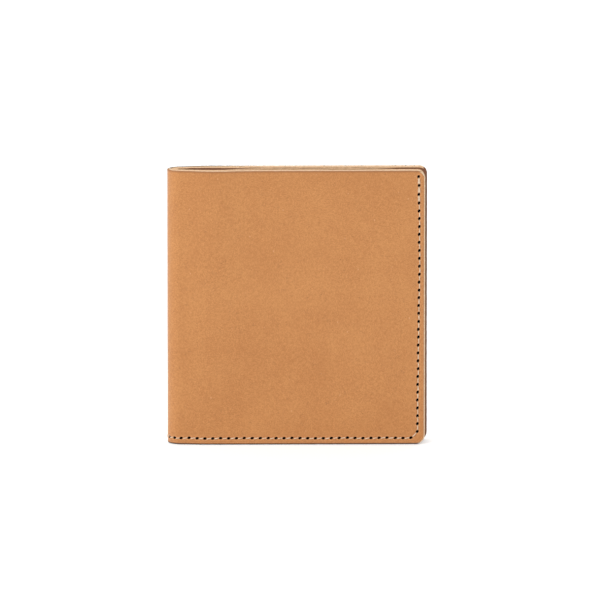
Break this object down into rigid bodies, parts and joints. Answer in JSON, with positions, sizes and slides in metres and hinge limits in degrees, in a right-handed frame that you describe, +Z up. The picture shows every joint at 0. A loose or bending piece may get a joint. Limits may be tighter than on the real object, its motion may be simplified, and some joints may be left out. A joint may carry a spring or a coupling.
{
  "type": "bifold wallet",
  "caption": "Bifold wallet in tan leather: stitched covers on a folding spine, a banknote compartment behind a lining, and stepped T-shaped card pockets on both inner faces.",
  "frame": {"origin": "middle of the footprint of the shut wallet, on the surface it stands on", "axes": "+Z up along the height of the covers, -Y out of the front cover, -X out of the spine, +X towards the free edges"},
  "size_m": [0.0966, 0.01, 0.105],
  "materials": {
    "cover_leather": "tan vegetable-tanned leather, fine grain, satin, with pale raw edges",
    "lining_leather": "thin tan leather, smooth side out",
    "pocket_leather": "thin tan leather with a creased line along each mouth",
    "thread": "waxed cream linen thread"
  },
  "bodies": {
    "rear_half": {"rear_cover": "cover_leather", "rear_lining": "lining_leather", "rear_card_panel": "pocket_leather", "rear_card_pocket_upper": "pocket_leather", "rear_card_pocket_middle": "pocket_leather", "rear_card_pocket_lower": "pocket_leather", "rear_perimeter_stitches": "thread", "rear_pocket_stitches": "thread"},
    "spine_rear": {"spine_cover_rear": "cover_leather", "spine_lining_rear": "lining_leather", "spine_stitches_rear": "thread"},
    "spine_front": {"spine_cover_front": "cover_leather", "spine_lining_front": "lining_leather", "spine_stitches_front": "thread"},
    "front_half": {"front_cover": "cover_leather", "front_lining": "lining_leather", "front_card_panel": "pocket_leather", "front_card_pocket_upper": "pocket_leather", "front_card_pocket_middle": "pocket_leather", "front_card_pocket_lower": "pocket_leather", "front_perimeter_stitches": "thread", "front_pocket_stitches": "thread"}
  },
  "joints": [
    {"name": "fold_rear", "type": "hinge", "parent": "rear_half", "child": "spine_rear", "pos_m": [-0.04582, 0.00437, 0.0525], "axis": [0, 0, -1], "range_deg": [0, 60]},
    {"name": "fold_middle", "type": "hinge", "parent": "spine_rear", "child": "spine_front", "pos_m": [-0.04835, 0, 0.0525], "axis": [0, 0, -1], "range_deg": [0, 60]},
    {"name": "fold_front", "type": "hinge", "parent": "spine_front", "child": "front_half", "pos_m": [-0.04582, -0.00437, 0.0525], "axis": [0, 0, -1], "range_deg": [0, 60]}
  ],
  "couplings": [
    {"joint": "fold_middle", "follows": "fold_rear", "ratio": 1},
    {"joint": "fold_front", "follows": "fold_rear", "ratio": 1}
  ]
}
